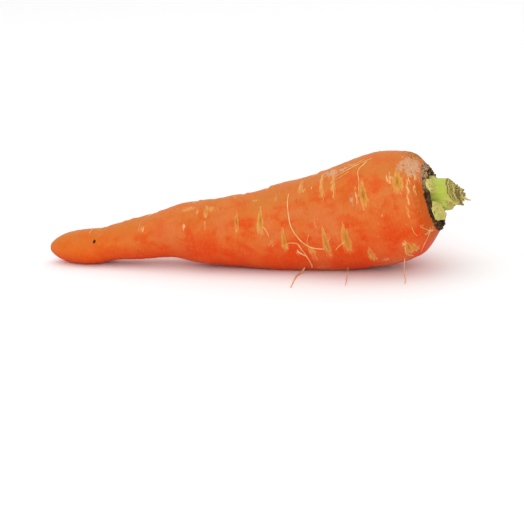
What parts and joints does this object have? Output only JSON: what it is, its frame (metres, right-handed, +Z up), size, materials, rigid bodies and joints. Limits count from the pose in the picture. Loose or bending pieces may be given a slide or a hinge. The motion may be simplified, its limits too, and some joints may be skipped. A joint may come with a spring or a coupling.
{
  "type": "carrot",
  "caption": "Orange carrot root lying on its side, its crown still holding short green leaf stalk bases round a withered brown bunch of inner stalks.",
  "frame": {"origin": "middle of the model's box, on the surface the carrot lies on", "axes": "+X from the tip towards the crown, +Z up, -Y towards the side that the picture shows"},
  "size_m": [0.1818, 0.0458, 0.0488],
  "materials": {
    "carrot_skin": "washed carrot skin, satin, paler on top and redder below, with ochre rootlet scars",
    "stalk_green": "fresh yellow-green leaf stalk, smooth and ribbed, browning at its cut",
    "stalk_withered": "dried brown plant fibre, matte"
  },
  "bodies": {
    "root": {"root": "carrot_skin", "leaf_stalk_bases": "stalk_green", "withered_stalk_ends": "stalk_withered"}
  },
  "joints": []
}
